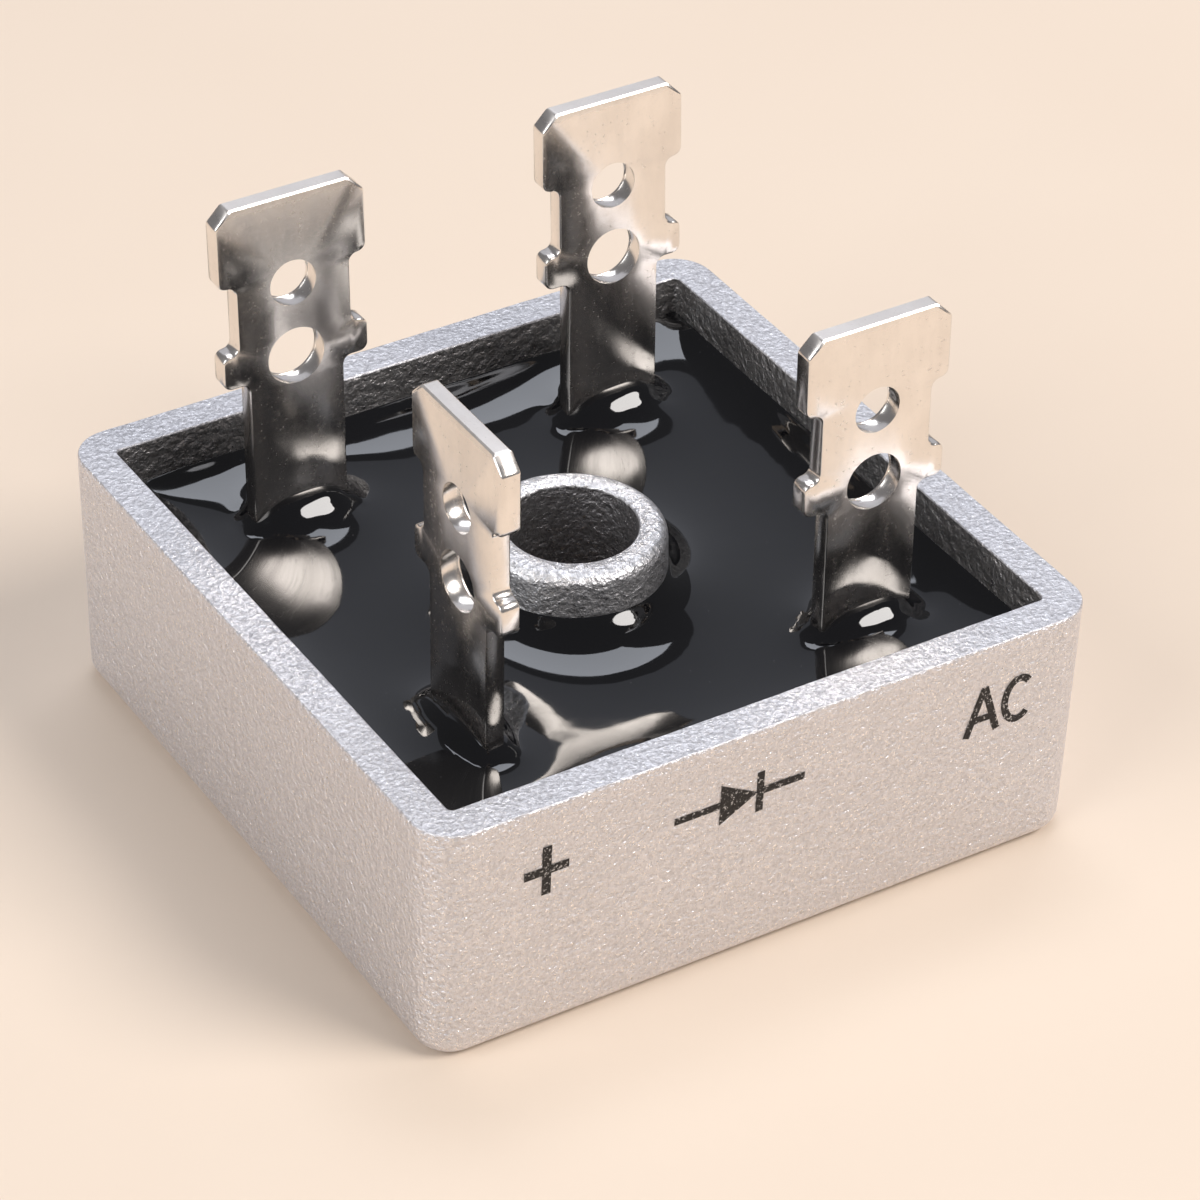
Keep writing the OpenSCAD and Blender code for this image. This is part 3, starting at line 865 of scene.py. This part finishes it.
def plain_ceramic(name, dark, pale, rough, size, depth):
    """Fired plate or silicon: even tone with a fine tooth."""
    shade = Shade(name)
    cloud = shade.grain(size, 4.0, 0.6)
    tone = shade.blend(shade.between(cloud, 0.3, 0.7), dark, pale)
    shade.set(Base_Color=tone, Roughness=shade.between(cloud, 0.3, 0.7, rough + 0.06, rough - 0.06))
    shade.set(Normal=shade.bump(cloud, depth, 0.8))
    return shade.material


def table_top():
    """Plain pale top with a faint cloudiness."""
    shade = Shade("pale_table")
    cloud = shade.grain(18.0, 2.0, 0.5)
    shade.set(Base_Color=shade.blend(cloud, (0.785, 0.65, 0.525), (0.81, 0.68, 0.555)), Roughness=0.75)
    return shade.material


# ---------------------------------------------------------------- marks on the front face

INK_PROUD = 0.012
INK_LAYER = 0.0006


def face_spot(along, level, proud):
    """Place on the marked side, which leans back a little towards the base."""
    drawn = CASE_DRAFT * (CASE_H - level) / CASE_H
    return Vector((along, -(CASE_HALF - drawn) - proud, level)) * MM


def lay_on_face(mesh, along, level):
    """Lays a flat mark, drawn in millimetres round its own centre, on the marked side."""
    for vertex in mesh.vertices:
        vertex.co = face_spot(along + vertex.co.x, level + vertex.co.y, INK_PROUD + vertex.co.z)


def stroke_mesh(lines, width, solid=None):
    """Flat strokes of one width along the given lines of points, with square ends and mitred corners. A solid
    patch with the given corners may go with them."""
    spots, faces = [], []
    for number, line in enumerate(lines):
        points = [Vector(p) for p in line]
        base = len(spots)
        for k, point in enumerate(points):
            before = (point - points[k - 1]).normalized() if k else None
            after = (points[k + 1] - point).normalized() if k + 1 < len(points) else None
            along = ((before or after) + (after or before)).normalized()
            aside = Vector((-along.y, along.x)) * width / 2
            if before and after:
                aside /= max(along.dot(after), 0.5)
            spots += [(*(point - aside), INK_LAYER * number), (*(point + aside), INK_LAYER * number)]
        for k in range(len(points) - 1):
            a = base + 2 * k
            faces.append((a, a + 2, a + 3, a + 1))
    if solid:
        faces.append(tuple(range(len(spots), len(spots) + len(solid))))
        spots += [(*corner, 5 * INK_LAYER) for corner in solid]
    mesh = bpy.data.meshes.new("stroke")
    mesh.from_pydata(spots, [], faces)
    return mesh


def straight(start, end, steps=6):
    """Points along a straight line."""
    a, b = Vector(start), Vector(end)
    return [tuple(a.lerp(b, k / steps)) for k in range(steps + 1)]


def bow(centre, wide, high, start, end, steps=24):
    """Points along part of an oval, between two angles in degrees."""
    turns = [math.radians(start + (end - start) * k / steps) for k in range(steps + 1)]
    return [(centre[0] + wide * math.cos(t), centre[1] + high * math.sin(t)) for t in turns]


def printed_marks(ink):
    """Polarity sign, the two letters of the supply side and a plain diode sign, as thin ink."""
    plus = [straight((-0.93, 0), (0.93, 0)), straight((0, -1.1), (0, 1.1))]
    letters = [straight((-1.36, -1.08), (-0.68, 1.08)), straight((-0.68, 1.08), (0.02, -1.08)),
               straight((-1.1, -0.36), (-0.24, -0.36)), bow((0.93, 0.0), 0.62, 0.95, 48, 312)]
    leads = [straight((-2.8, 0), (-0.8, 0)), straight((0.8, 0), (2.8, 0)),
             straight((0.87, -0.92), (0.87, 0.92))]
    arrow = [(-0.85, -0.92), (0.78, 0), (-0.85, 0.92)]
    drawn = (("mark_plus", stroke_mesh(plus, 0.38), -9.64, 7.57),
             ("mark_letters", stroke_mesh(letters, 0.31), 9.91, 7.52),
             ("mark_diode", stroke_mesh(leads, 0.32, arrow), -1.5, 7.6))
    marks = []
    for name, mark, along, level in drawn:
        lay_on_face(mark, along, level)
        mark.materials.append(ink)
        marks.append(add_piece(name, mark))
    return marks


# ---------------------------------------------------------------- putting the part together

def dress(node, finish):
    """Gives a carried-over piece its finish."""
    NODE[node].data.materials.clear()
    NODE[node].data.materials.append(finish)


def stand_in(piece, node):
    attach(piece, "root")
    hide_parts(node)


place_camera()
light_the_table()

side_metal = blasted_aluminium("blasted_side", (0.69, 0.68, 0.71), (0.82, 0.81, 0.845), 0.44, 0.08, 0.17, 0.9)
rim_metal = blasted_aluminium("pressed_rim", (0.60, 0.59, 0.61), (0.84, 0.83, 0.85), 0.54, 0.04, 0.17, 0.7)
# painted shade: the cavity wall gets a much darker copy of the cast metal, for the shade inside the tray
shaded_wall_metal = blasted_aluminium("painted_shade_inner_wall", (0.34, 0.325, 0.32), (0.56, 0.54, 0.53), 0.42, 0.08, 0.3)
boss_metal = blasted_aluminium("rough_boss", (0.64, 0.63, 0.64), (0.92, 0.91, 0.92), 0.48, 0.06, 0.22, 0.7)
# painted shade: the bore gets a much darker copy of the cast metal, for the shade down the hole
shaded_bore_metal = blasted_aluminium("painted_shade_bore", (0.28, 0.27, 0.27), (0.50, 0.48, 0.485), 0.46, 0.05, 0.2, 1.0)
case = cast_case([side_metal, rim_metal, shaded_wall_metal, boss_metal, shaded_bore_metal])
stand_in(case, "case")

seats = [
    BladeSeat("terminal_positive", True, (-1.0, 0.0), 0.95, 1.20, 1.05),
    BladeSeat("terminal_negative", False, (-0.9, 1.8), 0.80, 1.55, 1.00),
    BladeSeat("terminal_ac_left", False, (-0.8, 1.8), 0.80, 1.60, 0.95),
    BladeSeat("terminal_ac_right", False, (-1.0, 0.0), 0.75, 1.45, 0.85),
]
resin = poured_resin(seats, gloss_resin())
stand_in(resin, "potting")

rule = blade_rule()
plating, sheared = blade_plating(), sheared_edge()
for seat in seats:
    stand_in(push_on_blade(rule, seat, plating, sheared), seat.node)

for mark in printed_marks(printed_ink()):
    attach(mark, "root")

copper = plain_metal("rolled_copper", (0.62, 0.30, 0.20), (0.83, 0.47, 0.34), 0.34, 0.5, 0.01, (1, 0.2, 1))
solder = plain_metal("frozen_solder", (0.48, 0.49, 0.50), (0.72, 0.73, 0.74), 0.32, 0.4, 0.02)
silicon = plain_ceramic("silicon_die", (0.05, 0.055, 0.065), (0.10, 0.105, 0.12), 0.28, 0.6, 0.002)
fired = plain_ceramic("fired_plate", (0.74, 0.72, 0.66), (0.84, 0.82, 0.77), 0.55, 0.3, 0.01)
for name in NODE:
    if name.startswith("link_"):
        dress(name, copper)
    elif name.startswith("diode_"):
        dress(name, silicon)
    elif name.startswith("solder_"):
        dress(name, solder)
    elif name == "insulating_plate":
        dress(name, fired)

bpy.ops.mesh.primitive_plane_add(size=3.0, location=(0, 0, -0.02 * MM))
table = bpy.context.active_object
table.name = "table_top"
table.data.materials.append(table_top())
